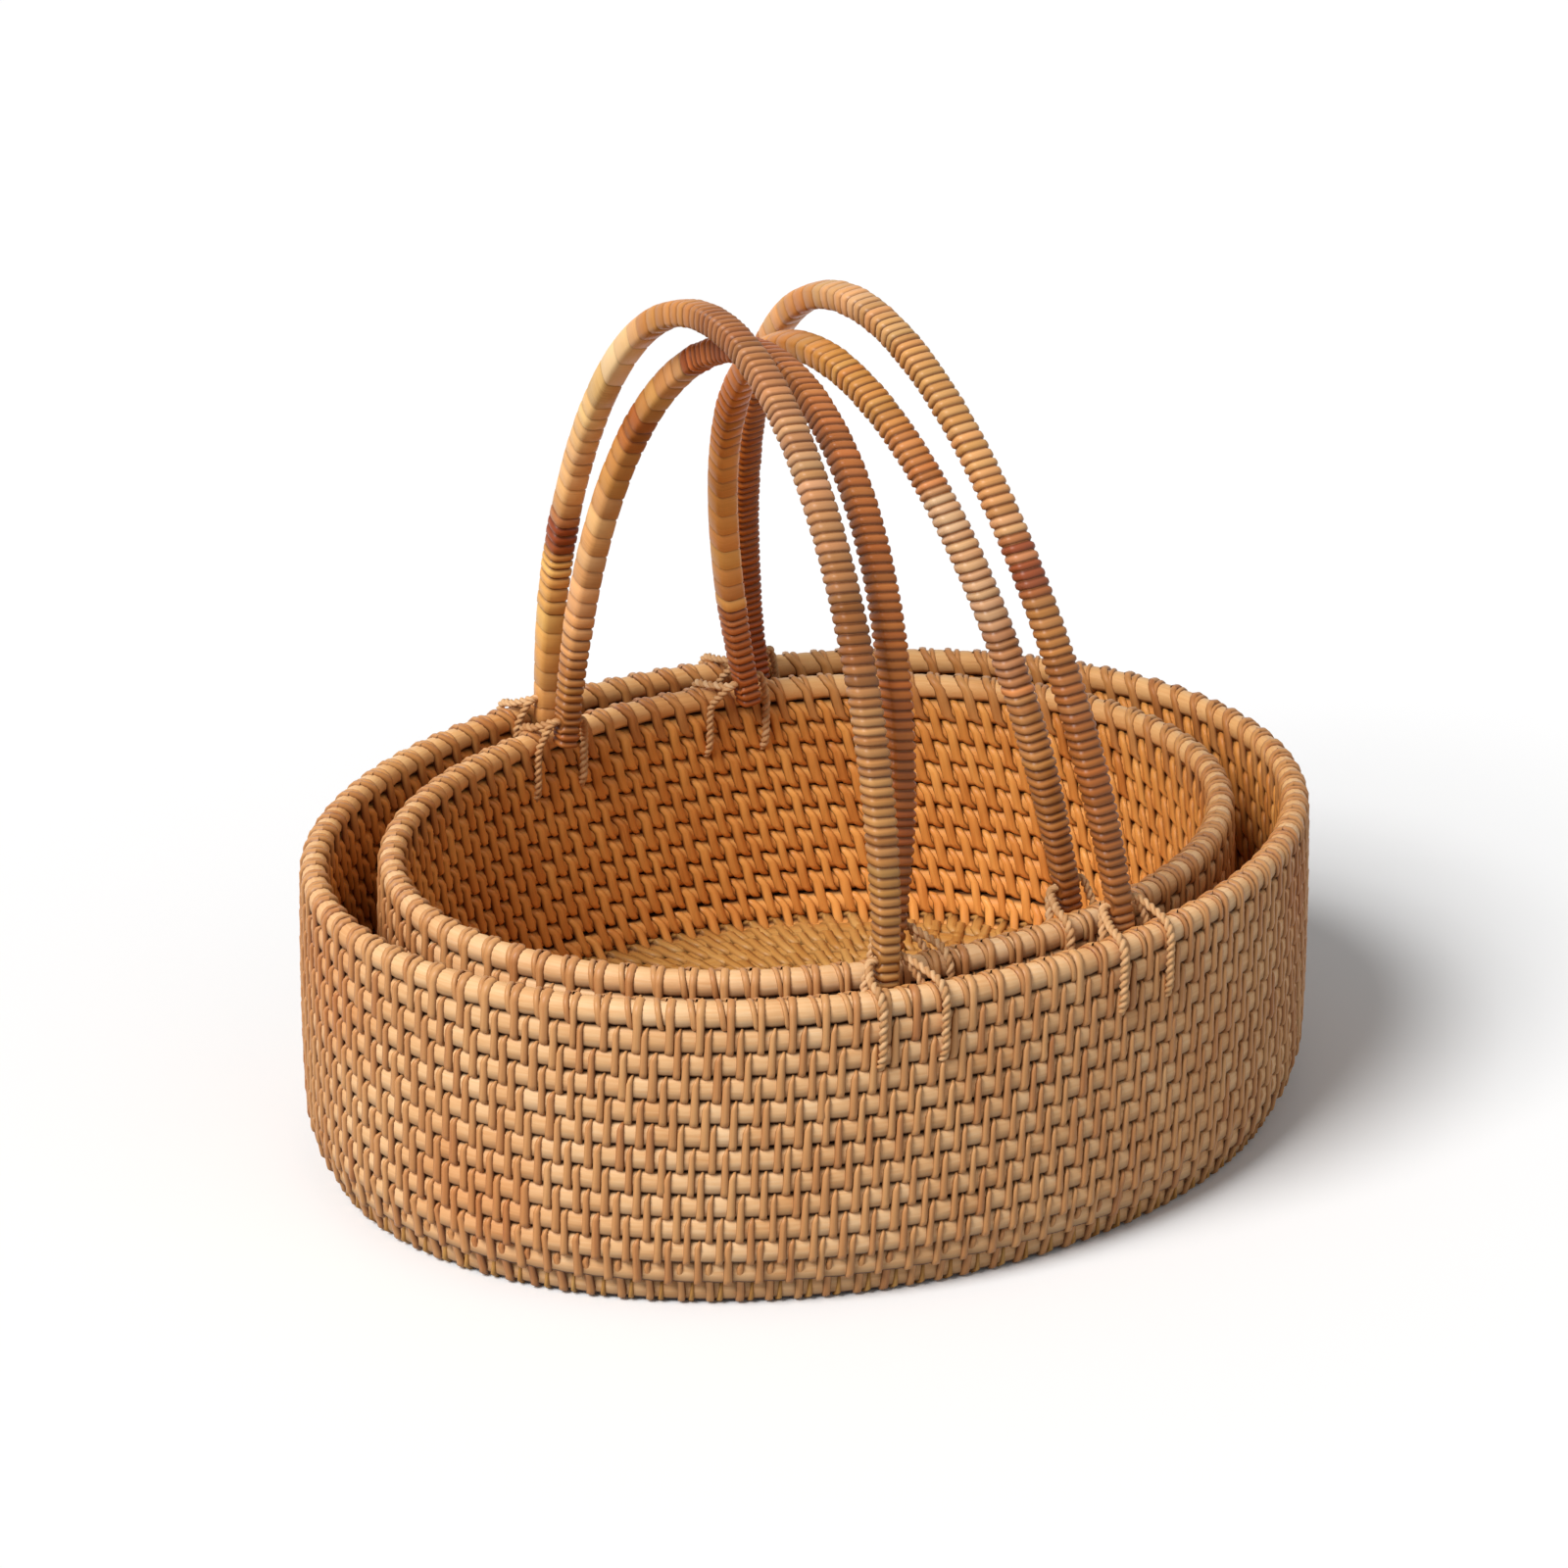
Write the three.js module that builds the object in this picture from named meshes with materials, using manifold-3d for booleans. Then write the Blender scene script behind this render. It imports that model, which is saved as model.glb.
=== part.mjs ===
// A nested pair of oval coiled-rattan baskets. The small basket stands in the large one, and each
// has two bound hoop handles tied to the inside of its rim, so that they swing to the basket's ends.
// Millimetres. X runs along the ovals, Y across them with the back at +Y, Z up, and the origin is
// under the middle of the large basket.
import * as THREE from 'three';
import { mergeVertices } from 'three/addons/utils/BufferGeometryUtils.js';
import Module from 'manifold-3d';

const wasm = await Module();
wasm.setup();

// Coil rods, which lie one course on another and are sewn together
const rod = 8.55; // diameter of a coil rod
const courseGap = 0.3; // room between two courses
const rodSeat = 4.5; // width of the flats where one course lies on the next

// Large basket
const largeLength = 380;
const largeWidth = 305.5;
const largeCourses = 13; // the base's outer coil, the wall and the rim

// Small basket
const rimStepAtEnds = 28.7; // between the outer edges of the two rims at the ends
const nestClear = 1.2; // between the small rim and the large handles' feet
const smallCourses = 12;

// Wall profile of both baskets
const belly = 1; // how far the wall swells past the rim at half height
const cornerInset = 7; // how far the lowest course draws in
const cornerCourses = 2.5; // courses over which the lower corner rounds

// Coils of the bases
const coilDip = 3.2; // depth of the groove between two coils

// Bound handles
const poleWide = 8.5; // pole's width along X
const poleDeep = 7.7; // pole's depth across the hoop
const poleChamfer = 1.6;
const bindGap = 0.35; // room between the pole and its binding
const bindThick = 0.7;
const bindTurns = 20;
const turnGap = 0.8; // room between two turns of the binding
const bindFootHeight = 7; // from the hinge up to the first turn
const footBelow = 11; // from the hinge down to the pole's cut end
const footClear = 0.4; // between a bound foot and the rim
const layClear = 1.2; // between a laid-down handle and the rim

// Each hoop rises from the hinge to the middle of the pole at the top. Its roundness is 2 for half an
// ellipse, and less for a hoop that narrows sooner.
const largeRise = 186.8;
const smallRise = 172.2;
const hoops = {
  large: { rise: largeRise, roundness: 1.73 },
  small: { rise: smallRise, roundness: 2.13 },
};

// Where the feet of each handle stand along X, and how far the handle leans to the middle, in degrees
const largeLeftFront = -48.5;
const largeLeftRear = -36;
const largeRightFront = 45.5;
const largeRightRear = 52.5;
const smallLeftFront = -33.5;
const smallLeftRear = -40.5;
const smallRightFront = 38;
const smallRightRear = 36.5;
const stands = {
  large: {
    left: { front: largeLeftFront, rear: largeLeftRear, lean: 1.2 },
    right: { front: largeRightFront, rear: largeRightRear, lean: 9.4 },
  },
  small: {
    left: { front: smallLeftFront, rear: smallLeftRear, lean: 6 },
    right: { front: smallRightFront, rear: smallRightRear, lean: 11.5 },
  },
};

// Cane ties through the feet
const tieThick = 3.4;
const tieHoleClear = 0.45;
const tieGap = 0.5; // between a tie and the rods that it lies on
const tieSpread = 11; // from the middle of a foot to each leg of its tie
const tieCourses = 2; // courses below the rim at which a leg goes into the weave

// How finely round shapes are divided
const ovalSteps = 24;
const poleSteps = 36;
const outerLegSteps = 5;
const throughSteps = 4;
const insideTieSteps = 3;
const tieSides = 5;
const holeSides = 8;

const rodRadius = rod / 2;
const tieRadius = tieThick / 2;
const coursePitch = rod + courseGap;
const boundWide = poleWide + 2 * (bindGap + bindThick);
const boundDeep = poleDeep + 2 * (bindGap + bindThick);
const turn = Math.PI * 2;

const paint = (color, roughness) => new THREE.MeshStandardMaterial({ color, roughness, metalness: 0 });
const rodCane = paint(0xd9a871, 0.55);
const rimCane = paint(0xd8a976, 0.5);
const baseCane = paint(0xc58f52, 0.6);
const poleCane = paint(0xb4794a, 0.6);
const bindingCane = { large: paint(0xb06f42, 0.4), small: paint(0xc07c45, 0.4) };
const tieCane = paint(0xb07b4c, 0.6);

// A closed mesh from rings of points that follow one another. A loop joins its last ring to its
// first, and any other run is capped at both ends.
function loft(rings, loop) {
  const sides = rings[0].length;
  const positions = rings.flat().flatMap((point) => [point.x, point.y, point.z]);
  const faces = [];
  const spans = loop ? rings.length : rings.length - 1;
  for (let i = 0; i < spans; i += 1) {
    const here = i * sides;
    const next = ((i + 1) % rings.length) * sides;
    for (let j = 0; j < sides; j += 1) {
      const k = (j + 1) % sides;
      faces.push(here + j, here + k, next + k, here + j, next + k, next + j);
    }
  }
  if (!loop) {
    const last = (rings.length - 1) * sides;
    for (let j = 1; j < sides - 1; j += 1) {
      faces.push(0, j + 1, j, last, last + j, last + j + 1);
    }
  }
  const geometry = new THREE.BufferGeometry();
  geometry.setAttribute('position', new THREE.Float32BufferAttribute(positions, 3));
  geometry.setIndex(faces);
  return facingOut(geometry);
}

// The same mesh with its faces turned outwards, which the sign of its volume shows
function facingOut(geometry) {
  const place = geometry.attributes.position;
  const faces = Array.from(geometry.index.array);
  const corner = [new THREE.Vector3(), new THREE.Vector3(), new THREE.Vector3()];
  let volume = 0;
  for (let i = 0; i < faces.length; i += 3) {
    corner.forEach((point, n) => point.fromBufferAttribute(place, faces[i + n]));
    volume += corner[0].dot(corner[1].clone().cross(corner[2]));
  }
  if (volume < 0) {
    for (let i = 0; i < faces.length; i += 3) {
      [faces[i + 1], faces[i + 2]] = [faces[i + 2], faces[i + 1]];
    }
    geometry.setIndex(faces);
  }
  geometry.computeVertexNormals();
  return geometry;
}

// Solids for cuts and joins
function toSolid(geometry) {
  const bare = geometry.clone();
  bare.deleteAttribute('normal');
  bare.deleteAttribute('uv');
  const merged = mergeVertices(bare, 1e-4);
  const vertProperties = Float32Array.from(merged.attributes.position.array);
  const triVerts = Uint32Array.from(merged.index.array);
  return new wasm.Manifold(new wasm.Mesh({ numProp: 3, vertProperties, triVerts }));
}

function fromSolid(solid) {
  const mesh = solid.getMesh();
  const geometry = new THREE.BufferGeometry();
  geometry.setAttribute('position', new THREE.Float32BufferAttribute(mesh.vertProperties, 3));
  geometry.setIndex(Array.from(mesh.triVerts));
  geometry.computeVertexNormals();
  return geometry;
}

// Oval plan of a basket: its rim's middle line has these half lengths, and each course of the wall
// is that line moved square to itself.
function makeBasket(name, halfLength, halfWidth, courses, floorZ) {
  const top = courses - 1;
  const basket = { name, halfLength, halfWidth, courses, floorZ, top };
  basket.courseZ = (course) => floorZ + rodRadius + course * coursePitch;
  basket.rimTop = basket.courseZ(top) + rodRadius;
  basket.inset = (course) => {
    const corner = Math.max(0, 1 - course / cornerCourses);
    return cornerInset * corner * corner - belly * Math.sin((Math.PI * course) / top);
  };
  basket.point = (angle, course, out, up) => {
    const normal = new THREE.Vector2(Math.cos(angle) / halfLength, Math.sin(angle) / halfWidth);
    normal.setLength(out - basket.inset(course));
    const x = halfLength * Math.cos(angle) + normal.x;
    const y = halfWidth * Math.sin(angle) + normal.y;
    return new THREE.Vector3(x, y, basket.courseZ(course) + up);
  };
  // Distance from the long axis to a course, moved outwards, at a place along that axis
  basket.sideY = (x, course, out) => {
    const reach = out - basket.inset(course);
    return (halfWidth + reach) * Math.sqrt(1 - (x / (halfLength + reach)) ** 2);
  };
  return basket;
}

// How far from the long axis a foot stands on the inside of a rim. A handle whose feet are not square
// to the rim needs room for the corners of its section.
function footReach(basket, { front, rear }, footX) {
  const corner = Math.abs(footX) + boundWide / 2 + tieGap;
  const edge = basket.sideY(corner, basket.top, -rodRadius) * Math.cos(Math.PI / ovalSteps);
  const turned = Math.abs(rear - front) / (2 * basket.halfWidth);
  return edge - footClear - boundDeep / 2 - (turned * boundWide) / 2;
}

// Half width of a rim that clears the inside of every large foot
function halfWidthBetweenFeet(halfLength) {
  const widths = Object.values(stands.large).flatMap((stand) =>
    [stand.front, stand.rear].map((footX) => {
      const corner = Math.abs(footX) - boundWide / 2;
      const room = footReach(largeBasket, stand, footX) - boundDeep / 2 - nestClear;
      return room / Math.sqrt(1 - (corner / (halfLength + rodRadius)) ** 2);
    }),
  );
  return Math.min(...widths) - rodRadius;
}

const largeBasket = makeBasket(
  'large',
  largeLength / 2 - rodRadius,
  largeWidth / 2 - rodRadius,
  largeCourses,
  0,
);
const smallHalfLength = largeBasket.halfLength - rimStepAtEnds;
const smallBasket = makeBasket(
  'small',
  smallHalfLength,
  halfWidthBetweenFeet(smallHalfLength),
  smallCourses,
  coursePitch,
);

// One course: a rod bent into an oval, with flats where it meets the courses above and below
function courseHoop(basket, course) {
  const seat = rodSeat / 2;
  const section = [
    [rodRadius, 0],
    [seat, rodRadius],
    [-seat, rodRadius],
    [-rodRadius, 0],
    [-seat, -rodRadius],
    [seat, -rodRadius],
  ];
  const rings = [];
  for (let i = 0; i < ovalSteps; i += 1) {
    const angle = (turn * i) / ovalSteps;
    rings.push(section.map(([out, up]) => basket.point(angle, course, out, up)));
  }
  return loft(rings, true);
}

// The flat coiled base inside the lowest course. Its open side has a ridge for each coil and a groove
// between two, and the other side, which lies against the other basket, is plain. openSide is 1 for
// the top and -1 for the underside.
function baseMat(basket, openSide) {
  const middleZ = basket.floorZ + rodRadius;
  const edge = -rodRadius - courseGap - basket.inset(0);
  const crestZ = middleZ + openSide * rodRadius;
  const grooveZ = crestZ - openSide * coilDip;
  const ring = (inward, z) => {
    const points = [];
    for (let i = 0; i < ovalSteps; i += 1) {
      const angle = (turn * i) / ovalSteps;
      const x = (basket.halfLength + edge - inward) * Math.cos(angle);
      const y = (basket.halfWidth + edge - inward) * Math.sin(angle);
      points.push(new THREE.Vector3(x, y, z));
    }
    return points;
  };
  const rings = [ring(0, middleZ - openSide * rodRadius)];
  const coils = Math.floor((basket.halfWidth + edge) / coursePitch);
  for (let coil = 0; coil < coils; coil += 1) {
    rings.push(ring(coil * coursePitch, grooveZ), ring((coil + 0.5) * coursePitch, crestZ));
  }
  return loft(rings, false);
}

// The middle line of a handle in its own upright plane, from the cut end of the front foot to that
// of the rear one. The hinge is at height 0, and the feet run straight down from it.
class HoopCurve extends THREE.Curve {
  constructor(halfSpan, { rise, roundness }) {
    super();
    this.halfSpan = halfSpan;
    this.rise = rise;
    this.roundness = roundness;
    this.arcLengthDivisions = 600;
  }

  getPoint(t) {
    const straight = 0.04;
    const foot = Math.max(0, straight - t, t - 1 + straight) / straight;
    const share = THREE.MathUtils.clamp((t - straight) / (1 - 2 * straight), 0, 1);
    const height = Math.sin(Math.PI * share);
    const reach = this.halfSpan * Math.sqrt(Math.max(0, 1 - height ** this.roundness));
    const z = this.rise * height - foot * footBelow;
    return new THREE.Vector3(0, share < 0.5 ? -reach : reach, z);
  }
}

// Corners of the pole's section, grown by a thickness all round
function poleSection(grow) {
  const wide = poleWide / 2 + grow;
  const deep = poleDeep / 2 + grow;
  const cut = poleChamfer + grow * (2 - Math.SQRT2);
  return [
    [wide, deep - cut],
    [wide - cut, deep],
    [cut - wide, deep],
    [-wide, deep - cut],
    [-wide, cut - deep],
    [cut - wide, -deep],
    [wide - cut, -deep],
    [wide, cut - deep],
  ];
}

// A point on the pole: how far along it, and where in its section
function onPole(curve, along, [side, out]) {
  const point = curve.getPointAt(along);
  const tangent = curve.getTangentAt(along);
  return new THREE.Vector3(side, point.y - out * tangent.z, point.z + out * tangent.y);
}

function handlePole(curve) {
  const section = poleSection(0);
  const rings = [];
  for (let i = 0; i <= poleSteps; i += 1) {
    rings.push(section.map((corner) => onPole(curve, i / poleSteps, corner)));
  }
  let pole = toSolid(loft(rings, false));
  const holeRadius = tieRadius + tieHoleClear;
  for (const end of [-1, 1]) {
    const hole = new THREE.CylinderGeometry(holeRadius, holeRadius, 2 * poleWide, holeSides);
    hole.rotateZ(Math.PI / 2).translate(0, end * curve.halfSpan, 0);
    pole = pole.subtract(toSolid(hole));
  }
  return fromSolid(pole);
}

// The cane binding, one unbroken strip wound close round the pole, with a ridge along its middle
function handleBinding(curve) {
  const length = curve.getLength();
  const margin = (footBelow + bindFootHeight) / length;
  const pitch = (1 - 2 * margin) / (bindTurns + 1);
  const half = pitch / 2 - turnGap / 2 / length;
  const seat = poleSection(bindGap);
  const crown = poleSection(bindGap + bindThick);
  const corners = seat.length;
  const rings = [];
  for (let i = 0; i <= bindTurns * corners; i += 1) {
    const corner = i % corners;
    const middle = margin + pitch / 2 + (pitch * i) / corners;
    rings.push([
      onPole(curve, middle - half, seat[corner]),
      onPole(curve, middle, seat[corner]),
      onPole(curve, middle + half, seat[corner]),
      onPole(curve, middle, crown[corner]),
    ]);
  }
  return { geometry: loft(rings, false), rings, corners };
}

// Least distance between points of the strip that are at least three quarters of a turn apart
function leastGap({ rings, corners }) {
  let least = Infinity;
  for (let i = 0; i < rings.length; i += 1) {
    for (let j = i + corners * 0.75; j < Math.min(rings.length, i + corners * 2); j += 1) {
      for (const a of rings[i]) {
        for (const b of rings[j]) {
          least = Math.min(least, a.distanceTo(b));
        }
      }
    }
  }
  return least;
}

function cord(points, steps, radius) {
  const path = new THREE.CatmullRomCurve3(points, false, 'centripetal');
  const section = new THREE.Shape();
  for (let i = 0; i < tieSides; i += 1) {
    const angle = (turn * i) / tieSides;
    section.lineTo(radius * Math.cos(angle), radius * Math.sin(angle));
  }
  section.curves.shift();
  return new THREE.ExtrudeGeometry(section, { steps, extrudePath: path });
}

// A tie: twisted cane through the foot. A leg on each of the outer sides goes over the rim and down the
// wall's outside, and two legs go down its inside, to where they enter the weave.
function footTie(basket, foot, rotation, outerSides) {
  const end = Math.sign(foot.y);
  const tuck = basket.top - tieCourses;
  const tuckZ = basket.courseZ(tuck);
  const rimZ = basket.courseZ(basket.top);
  const over = tieRadius + tieGap;
  const wrap = Math.hypot(rodSeat / 2, rodRadius) + over;
  const mouth = (reach) => new THREE.Vector3(reach, 0, 0).applyEuler(rotation).add(foot);
  let through = [];
  let insideLegs = [];
  for (const side of [-1, 1]) {
    const x = foot.x + side * tieSpread;
    const place = (y, z) => new THREE.Vector3(x, end * y, z);
    const within = (course) => basket.sideY(x, course, -rodRadius) * Math.cos(Math.PI / ovalSteps) - over;
    const roundRim = (angle) => {
      const y = basket.sideY(x, basket.top, 0) + wrap * Math.cos(angle);
      return place(y, rimZ + wrap * Math.sin(angle));
    };
    const bend = mouth(side * (boundWide / 2 + tieRadius));
    const leg = [mouth((side * poleWide) / 2), bend];
    if (outerSides.includes(side)) {
      leg.push(...[0.55, 0.35, 0.15, 0].map((share) => roundRim(Math.PI * share)));
      leg.push(place(basket.sideY(x, tuck, rodRadius) + over, tuckZ));
    }
    through = through.reverse().concat(leg);
    insideLegs.push([bend, place(within(basket.top), rimZ), place(within(tuck), tuckZ)]);
  }
  insideLegs = insideLegs.map((leg) => toSolid(cord(leg, insideTieSteps, tieRadius)));
  const steps = throughSteps + outerSides.length * outerLegSteps;
  const tie = toSolid(cord(through, steps, tieRadius));
  return fromSolid(insideLegs.reduce((joined, leg) => joined.add(leg), tie));
}

const part = new THREE.Group();

function addMesh(parent, name, geometry, material) {
  const mesh = new THREE.Mesh(geometry, material);
  mesh.name = name;
  parent.add(mesh);
}

function addBasket(basket, openSide) {
  addMesh(part, `${basket.name}_base`, baseMat(basket, openSide), baseCane);
  for (let course = 0; course < basket.top; course += 1) {
    const number = String(course + 1).padStart(2, '0');
    addMesh(part, `${basket.name}_course_${number}`, courseHoop(basket, course), rodCane);
  }
  addMesh(part, `${basket.name}_rim`, courseHoop(basket, basket.top), rimCane);
}

function addHandle(basket, sideName) {
  const stand = stands[basket.name][sideName];
  const name = `${basket.name}_handle_${sideName}`;
  const hinge = basket.rimTop + boundWide / 2 + layClear;
  const front = new THREE.Vector3(stand.front, -footReach(basket, stand, stand.front), hinge);
  const rear = new THREE.Vector3(stand.rear, footReach(basket, stand, stand.rear), hinge);
  const across = rear.clone().sub(front);
  const tilt = THREE.MathUtils.degToRad(stand.lean) * (sideName === 'left' ? 1 : -1);
  const turned = new THREE.Group();
  turned.position.copy(front).add(rear).multiplyScalar(0.5);
  turned.rotation.set(0, tilt, Math.atan2(-across.x, across.y), 'ZYX');
  part.add(turned);
  const curve = new HoopCurve(across.length() / 2, hoops[basket.name]);
  const binding = handleBinding(curve);
  addMesh(turned, `${name}_pole`, handlePole(curve), poleCane);
  addMesh(turned, `${name}_binding`, binding.geometry, bindingCane[basket.name]);
  console.log(`${name}_binding: least gap to itself ${leastGap(binding).toFixed(2)} mm`);
  for (const [endName, foot] of [['front', front], ['rear', rear]]) {
    // A small basket's tie keeps its outer leg away from the large foot beside it
    const largeFootX = stands.large[sideName][endName];
    const outerSides = basket === largeBasket ? [-1, 1] : [Math.sign(foot.x - largeFootX)];
    const tie = footTie(basket, foot, turned.rotation, outerSides);
    addMesh(part, `${name}_tie_${endName}`, tie, tieCane);
  }
}

addBasket(largeBasket, -1);
addBasket(smallBasket, 1);
for (const sideName of ['left', 'right']) {
  addHandle(largeBasket, sideName);
  addHandle(smallBasket, sideName);
}

export default part;
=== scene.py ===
# A nested pair of oval coiled-rattan baskets with bound hoop handles, dressed around its CAD frame.
# Metres, in the frame's own axes: X along the ovals, Y across them with the back at +Y, Z up.
import math

import bpy
import numpy as np
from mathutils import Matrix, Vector


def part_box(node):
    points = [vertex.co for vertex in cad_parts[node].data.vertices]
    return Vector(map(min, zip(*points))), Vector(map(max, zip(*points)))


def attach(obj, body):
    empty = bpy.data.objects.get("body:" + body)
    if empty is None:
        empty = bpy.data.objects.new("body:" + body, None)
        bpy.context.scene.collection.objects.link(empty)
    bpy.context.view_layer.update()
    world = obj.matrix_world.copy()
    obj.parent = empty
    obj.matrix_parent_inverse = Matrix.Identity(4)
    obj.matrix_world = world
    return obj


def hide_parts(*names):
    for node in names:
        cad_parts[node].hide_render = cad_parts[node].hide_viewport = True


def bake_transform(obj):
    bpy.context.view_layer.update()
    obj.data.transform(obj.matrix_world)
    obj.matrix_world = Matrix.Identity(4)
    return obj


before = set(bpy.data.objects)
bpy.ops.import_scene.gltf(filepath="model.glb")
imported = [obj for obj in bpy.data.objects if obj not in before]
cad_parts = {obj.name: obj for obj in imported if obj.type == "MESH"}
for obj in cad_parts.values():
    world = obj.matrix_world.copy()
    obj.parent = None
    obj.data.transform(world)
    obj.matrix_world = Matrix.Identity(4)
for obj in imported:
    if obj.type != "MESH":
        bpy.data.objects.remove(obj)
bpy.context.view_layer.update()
chance = np.random.default_rng(11)

mm = 0.001

# Camera, where the photograph was taken from
image_side = 1600
focal_pixels = 6033
sensor_side = 36.0
camera_place = Vector((-1.00456, -1.68123, 0.96384))
camera_aim = Vector((0.46774, 0.79170, -0.39298))

# Rods, which are pressed nearly square where they lie on each other
rod_radius = 4.275 * mm
rod_half_high = 4.38 * mm
rod_sides = 14
loops_per_stitch = 5
oval_points = 721
weld_reach = 0.001 * mm
# How square a rod is: on its outer side above and below the middle, and on its inner side
wall_powers = (5.0, 5.0, 2.6)
rim_powers = (2.3, 4.2, 2.3)
groove_share = 0.1  # share of a rod's height that is lost to the groove at its face
groove_reach = (0.5, 0.95)  # shares of its half width between which the groove sets in
wall_bulge = 0.03  # share by which a rod swells between two stitches
rim_bulge = 0.05
waver_share = 0.008  # share by which a rod's thickness wavers, with each of these numbers of waves
waver_waves = (3, 5, 9)
rise_height = 0.12 * mm  # how far a rod rises and dips on its way round
rise_waves = 4
wall_paleness = 0.63
rim_paleness = 0.66
base_paleness = 0.5
block_spread = 0.065  # how much the tone differs from one block between two stitches to the next
# Where the painted shade in the creases of a rod sets in, as shares of the way to its top, its bottom or
# its sides: a painted shadow under each rod, and painted shade where the next rod lies on it
crease_below_outside = (0.2, 0.7)
crease_below_inside = (0.55, 0.9)
crease_above = (0.74, 0.95)
crease_above_share = 0.9
core_crease = (0.7, 1.0)

# Stitches and wraps, which are strips of split cane
stitches_round = {"large": 101, "small": 85}
stitch_start = 0.3  # pitches by which the rim's stitches are turned round the basket
stitch_from = 95  # degrees round the first rod at which a stitch starts
edge_stitch_from = 185  # the same where the base meets the wall
stitch_slant = 0.16  # pitches by which a whole stitch slants on the outside
stitch_drift = 0.29  # pitches by which each row of stitches lies further round than the row above
tip_lean = 0.35  # strip widths by which the pointed end of a stitch lies further round
strip_wide = 3.2 * mm
strip_thick = 1.1 * mm
strip_clear = 0.05 * mm  # how far a strip stands off its rod
strip_dip = 0.96  # share of a rod's size at which a strip crosses to the next rod
strip_thinner = 0.7  # share by which a strip is thinner where its painted shade is darkest, as it goes behind the rods
strip_steps = 16
strip_across = 4
stitch_length = 55 * mm  # length of a whole stitch, along which its grain runs
wrap_wide = 2.2 * mm
wrap_thick = 0.75 * strip_thick
wrap_length = 28 * mm
wrap_painted_shade_ends = (0.85, 1.0)  # shares of the way to a wrap's ends between which painted shade darkens it, where it dips under the rim

# How much strips, turns and strands differ by chance
middle_tone = 0.5
strip_tones = 0.09
stitch_moves = 0.035  # in pitches
stitch_tilts = 0.05
stitch_widths = 0.08  # as a share of the width
wrap_moves = 0.03
wrap_widths = 0.1
widest_strip = 0.2
turn_widths = 0.07
widest_turn = 0.16
turn_lifts = 0.15
turn_tones = 0.12
weakest_shade_line = 0.75  # share of the painted shade line that the palest edge of a turn keeps
band_moves = 0.006  # as a share of the handle's length
band_brightness = 0.08
band_hue = 0.02
strand_tones = 0.15
# How far apart pieces lie in the noise of the fibres, so that each has a grain of its own
grain_apart = {"rod": 50, "stitch": 1.7, "wrap": 2.3, "turn": 3.1, "strand": 30}

# Tints of the wall, as shares of the cane's own colour. The inner side is tinted warmer, its rods darker
# and its strips paler, and the
# outer side has a few stains: where the middle of each is, and how far it reaches, in millimetres.
inner_rod_tint = (1.04, 0.76, 0.38)
inner_strip_tint = (1.36, 1.18, 0.7)
inner_rim_tint = (1.05, 0.95, 0.74)
inner_reach = (-0.1, 0.5)  # shares of a rod's half width inwards between which its inner tint sets in
stain_tint = (0.9, 0.72, 0.58)
wall_stains = [((-190, 9, 88), 28), ((-172, -65, 32), 26), ((145, -99, 90), 18)]

# Flat coils of the bases
coil_step = 8.85 * mm  # from one coil to the next
coil_loops = 160
smallest_coil = 0.4 * coil_step  # least half width of a coil
core_loops = 24
fewest_stitches = 8
side_by_side = math.radians(90)  # coils of a base lie beside each other, and courses on each other

# Handles, as in the frame: where the front and rear feet stand in millimetres, and how many degrees
# each hoop leans towards +X
hinge_up = 121.25 * mm
handle_stands = {
    "large_left": {"front": (-48.5, -130.89), "rear": (-36.0, 133.60), "lean": 1.2},
    "large_right": {"front": (45.5, -131.71), "rear": (52.5, 129.96), "lean": -9.4},
    "small_left": {"front": (-33.5, -110.45), "rear": (-40.5, 108.85), "lean": 6.0},
    "small_right": {"front": (38.0, -109.57), "rear": (36.5, 109.92), "lean": -11.5},
}
# How high the top of each hoop is over its hinge, and the power of its arch, where 2 gives an ellipse
hoop_rise = {"large": 186.8 * mm, "small": 172.2 * mm}
hoop_roundness = {"large": 1.73, "small": 2.13}
hoop_points = 1600
foot_below = 11 * mm  # how far a handle goes on below its hinge
foot_points = 20
bound_half_wide = 4.88 * mm
bound_half_deep = 4.48 * mm
section_power = 3.6  # how square the bound section is
foot_taper = 0.82  # share of the section that is left at the ends
taper_reach = 60 * mm  # length over which the ends taper
end_rounding = 3 * mm
end_share = 0.6  # share of the tapered section that is left at the very end
pole_depth = 0.3 * mm  # how far the pole lies under the binding
pole_loops = 150
pole_sides = 16
grain_radius = 5 * mm  # at which the way round a handle is measured for its grain
turn_crown = 0.42 * mm  # how far the middle of a turn stands proud
turn_edge = 0.95 * mm  # width of the crease at each edge of a turn, which is painted dark as shade
turn_steps = 16
turn_across = 4
turn_overlap = 1.02  # width of a turn as a share of its pitch
turn_inset = 0.3 * mm  # how far the binding stops short of the handle's ends
flat_lift = 0.5  # share of the crown that a flat turn has lost
flat_shade_line = 0.6  # share of the painted shade at its edges that a flat turn has lost
turn_margin = 1.2 * mm  # length before the first turn and after the last one
flat_turns = (3.8 * mm, 7 * mm)  # from the first width to the second, turns get flat and the painted shade at their edges fades
hole_half = 2.0 * mm  # half the gap that the turns leave for a tie
hole_sides = (0.62, 0.95)  # cosines of the angle round the handle between which the gap opens
hole_reach = 6 * mm  # how far from a tie the turns give way

# Ties
tie_spread = 11 * mm  # how far to each side of a foot the legs of its tie go down
tie_radius = 1.7 * mm
tie_gap = 0.5 * mm
tie_over = tie_radius + tie_gap  # how far the middle of a tie is from the rod that it lies on
rim_room = 0.6 * mm  # more room over the rim, for its wraps
rim_turns = range(100, -1, -20)  # degrees round the rim that a tie passes on its way over it
tie_courses = 2  # courses down from the rim to the one that a tie is tucked under
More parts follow.
